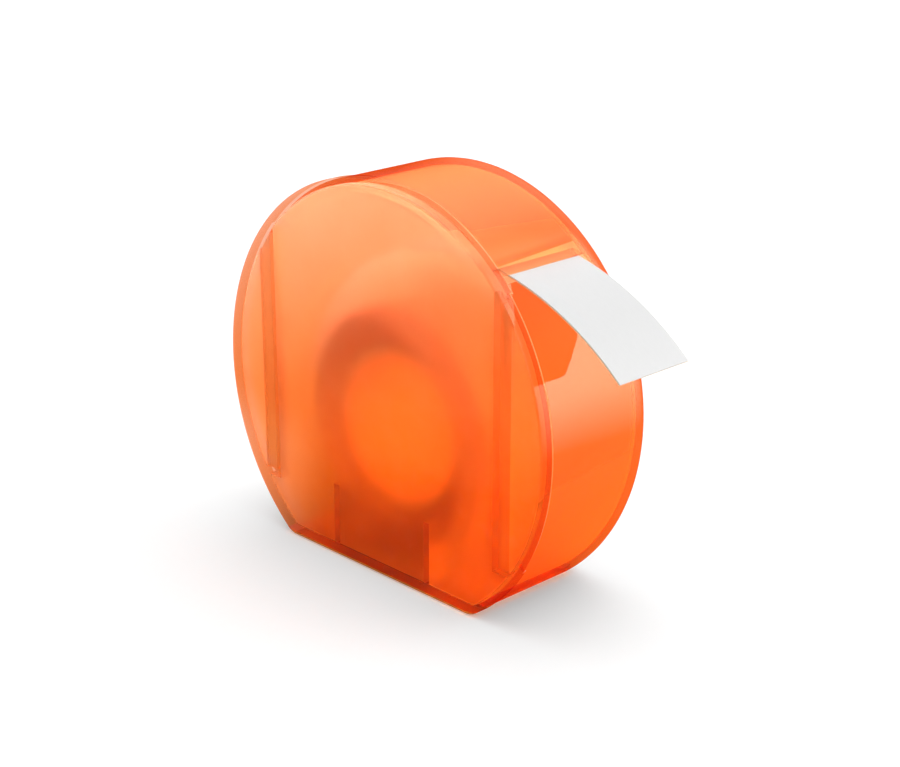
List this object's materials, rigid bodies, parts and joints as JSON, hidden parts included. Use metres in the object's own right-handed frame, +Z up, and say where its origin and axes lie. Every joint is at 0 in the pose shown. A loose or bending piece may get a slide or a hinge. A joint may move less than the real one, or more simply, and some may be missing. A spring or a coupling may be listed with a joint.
{
  "type": "label dispenser",
  "caption": "Pocket label dispenser: a translucent round case with a flat base and a push-fitted front cover, holding a roll whose strip of labels feeds out through a slot.",
  "frame": {"origin": "middle of the flat base under the centre of the round outline, halfway between the front and the back face", "axes": "+Z up from the base, -Y out of the front cover's face, +X towards the slot and the free end of the strip"},
  "size_m": [0.0849, 0.0264, 0.0666],
  "materials": {
    "cover_plastic": "translucent orange, glossy outside, lightly frosted inside",
    "case_plastic": "translucent orange, glossy outside, lightly frosted inside",
    "core_card": "matt wound card",
    "label_paper": "smooth matt white paper",
    "backing_paper": "smooth silk release paper"
  },
  "bodies": {
    "case": {"rear_case": "case_plastic", "web_lead": "label_paper"},
    "cover": {"front_cover": "cover_plastic"},
    "roll": {"label_roll": "label_paper", "roll_core": "core_card"},
    "strip": {"backing_strip": "backing_paper", "first_label": "label_paper", "second_label": "label_paper"}
  },
  "joints": [
    {"name": "cover_pull", "type": "slide", "parent": "case", "child": "cover", "axis": [0, -1, 0], "range_m": [0, 0.03]},
    {"name": "roll_turn", "type": "hinge", "parent": "case", "child": "roll", "pos_m": [0, 0, 0.0242], "axis": [0, 1, 0], "range_deg": [0, 55.3]},
    {"name": "strip_feed", "type": "hinge", "parent": "case", "child": "strip", "pos_m": [0.01445, 0, 0.00755], "axis": [0, 1, 0], "range_deg": [0, 23.2]}
  ],
  "couplings": [
    {"joint": "strip_feed", "follows": "roll_turn", "ratio": 0.4182}
  ]
}
